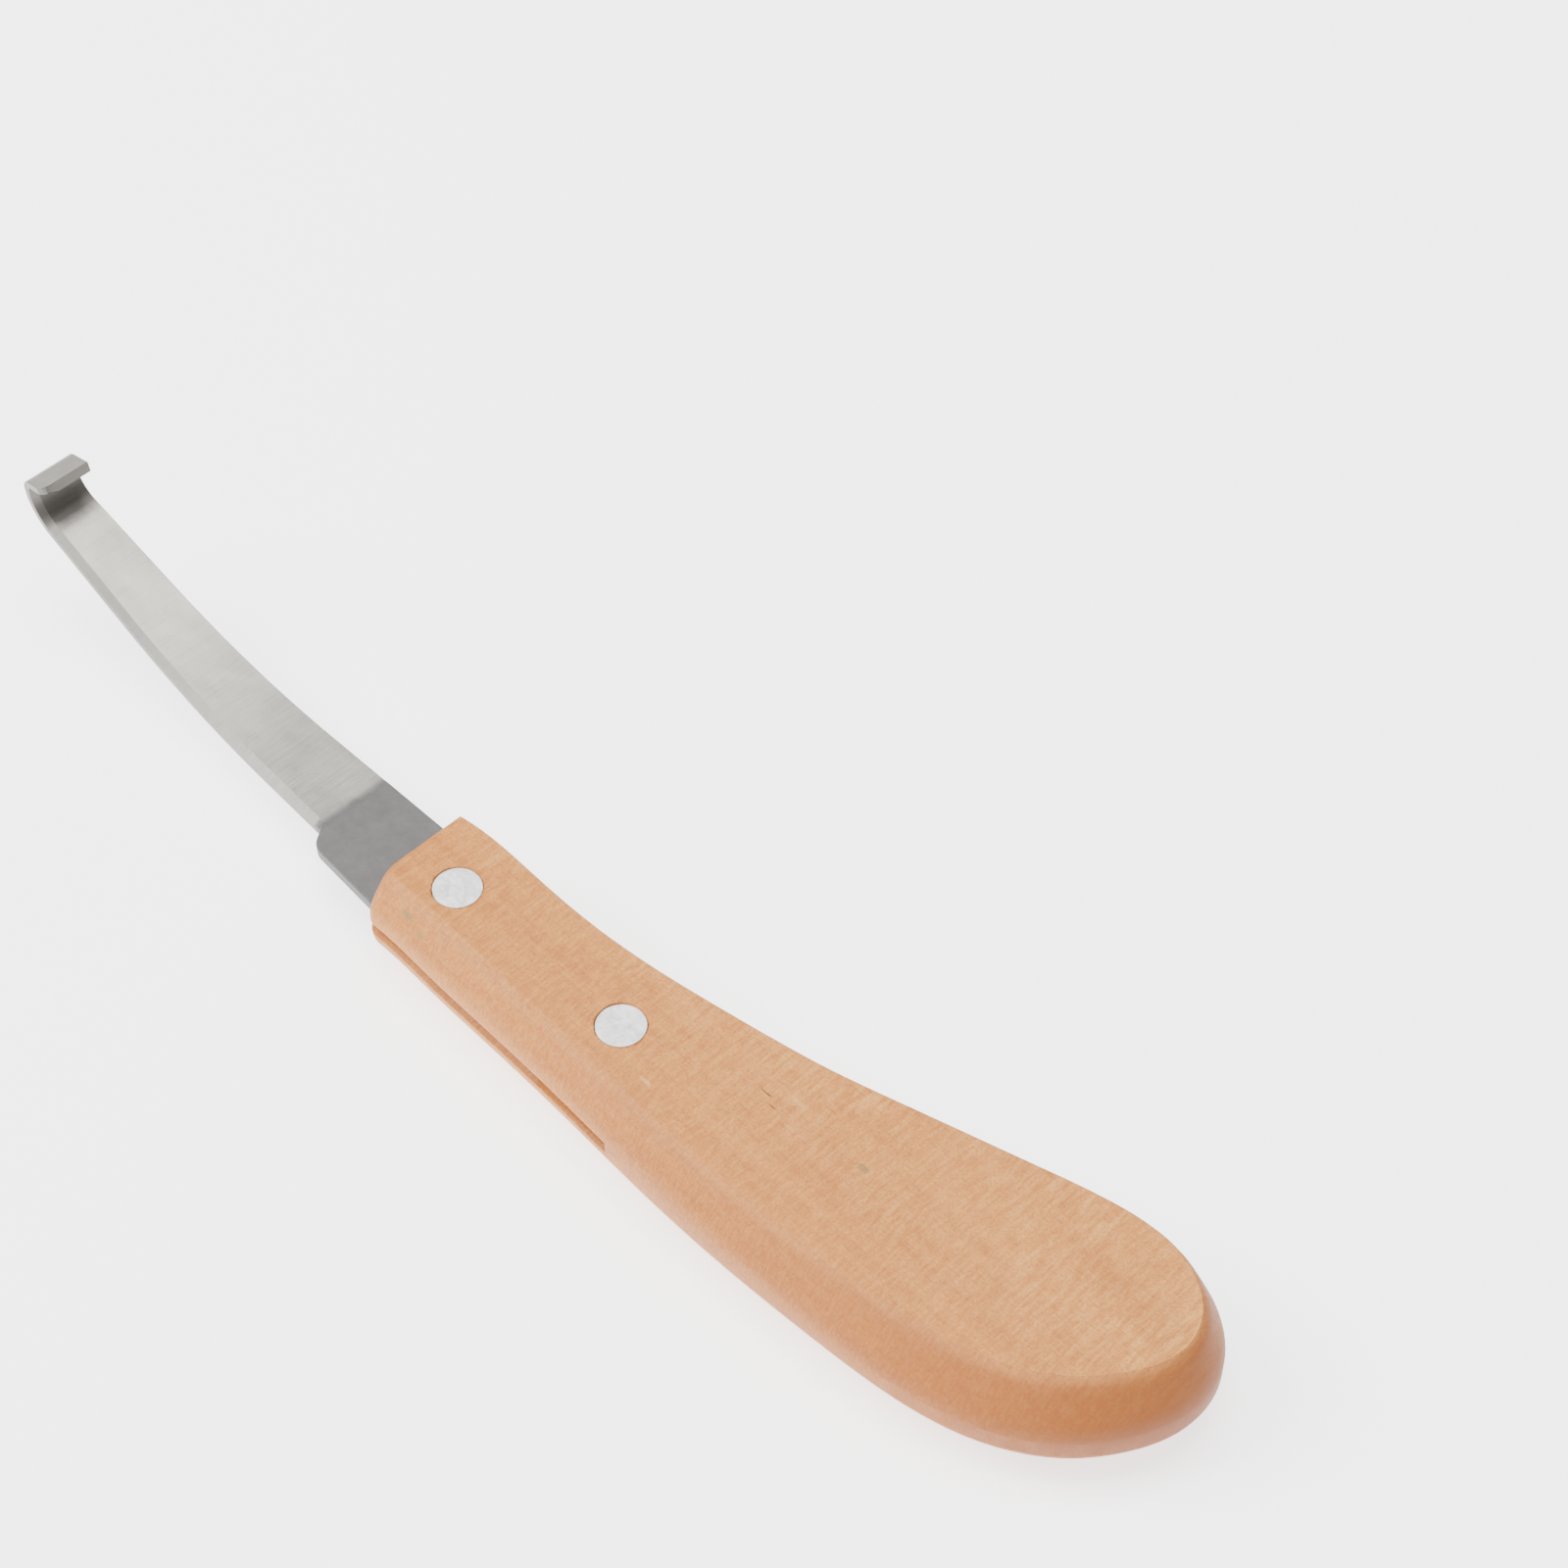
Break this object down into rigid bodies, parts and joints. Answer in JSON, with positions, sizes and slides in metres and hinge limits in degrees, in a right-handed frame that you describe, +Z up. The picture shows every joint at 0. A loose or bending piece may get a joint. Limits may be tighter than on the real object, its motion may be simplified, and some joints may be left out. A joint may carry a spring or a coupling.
{
  "type": "hoof knife",
  "caption": "Hand knife with a palm-swell wooden handle and a narrow steel blade that bends up and curls into a small hook at its tip, for trimming hooves.",
  "frame": {"origin": "on the rest plane under the middle of the knife's bounding box", "axes": "+X from the handle's butt to the blade's hook, +Y towards the cutting edge, +Z up from the surface the knife lies on, the way the blade bends and its hook curls"},
  "size_m": [0.2195, 0.04, 0.0269],
  "materials": {
    "wood": "pale sanded hardwood, unvarnished",
    "steel": "ground blade, dull grey ricasso",
    "rivet": "sanded flush with the wood"
  },
  "bodies": {
    "root": {"handle": "wood", "blade": "steel", "rivet_front_male": "rivet", "rivet_front_female": "rivet", "rivet_rear_male": "rivet", "rivet_rear_female": "rivet"}
  },
  "joints": []
}
